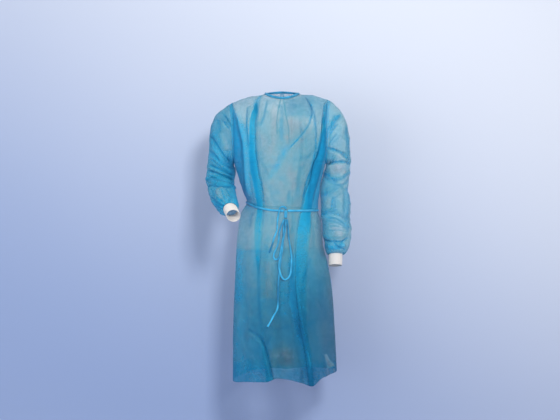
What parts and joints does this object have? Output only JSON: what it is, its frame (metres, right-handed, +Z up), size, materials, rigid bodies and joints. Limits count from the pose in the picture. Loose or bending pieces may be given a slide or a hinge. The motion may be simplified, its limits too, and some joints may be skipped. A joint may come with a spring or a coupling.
{
  "type": "visitor gown",
  "caption": "Thin blue non-woven visitor gown in its worn hollow form, with knitted cuffs, a bound neck and a waist belt tied in a bow in front.",
  "frame": {"origin": "middle of the neck opening, at the height of the neck points, where the wearer's neck and shoulders hold the gown", "axes": "+Z up along the wearer's neck, -Y the way the front faces, +X towards the wearer's left"},
  "size_m": [0.5626, 0.3956, 1.1351],
  "materials": {
    "nonwoven_blue": "matt spunbond non-woven, slightly see-through",
    "tape_blue": "matt folded non-woven tape",
    "knit_white": "matt ribbed knit"
  },
  "bodies": {
    "root": {"back_left": "nonwoven_blue", "back_right": "nonwoven_blue", "belt_end_long": "tape_blue", "belt_end_short": "tape_blue", "belt_knot": "tape_blue", "bow_loop_long": "tape_blue", "bow_loop_short": "tape_blue", "cuff_left": "knit_white", "cuff_right": "knit_white", "front": "nonwoven_blue", "neck_binding": "tape_blue", "neck_knot": "tape_blue", "neck_tie_left": "tape_blue", "neck_tie_right": "tape_blue", "sleeve_left": "nonwoven_blue", "sleeve_right": "nonwoven_blue", "waist_belt": "tape_blue"}
  },
  "joints": []
}
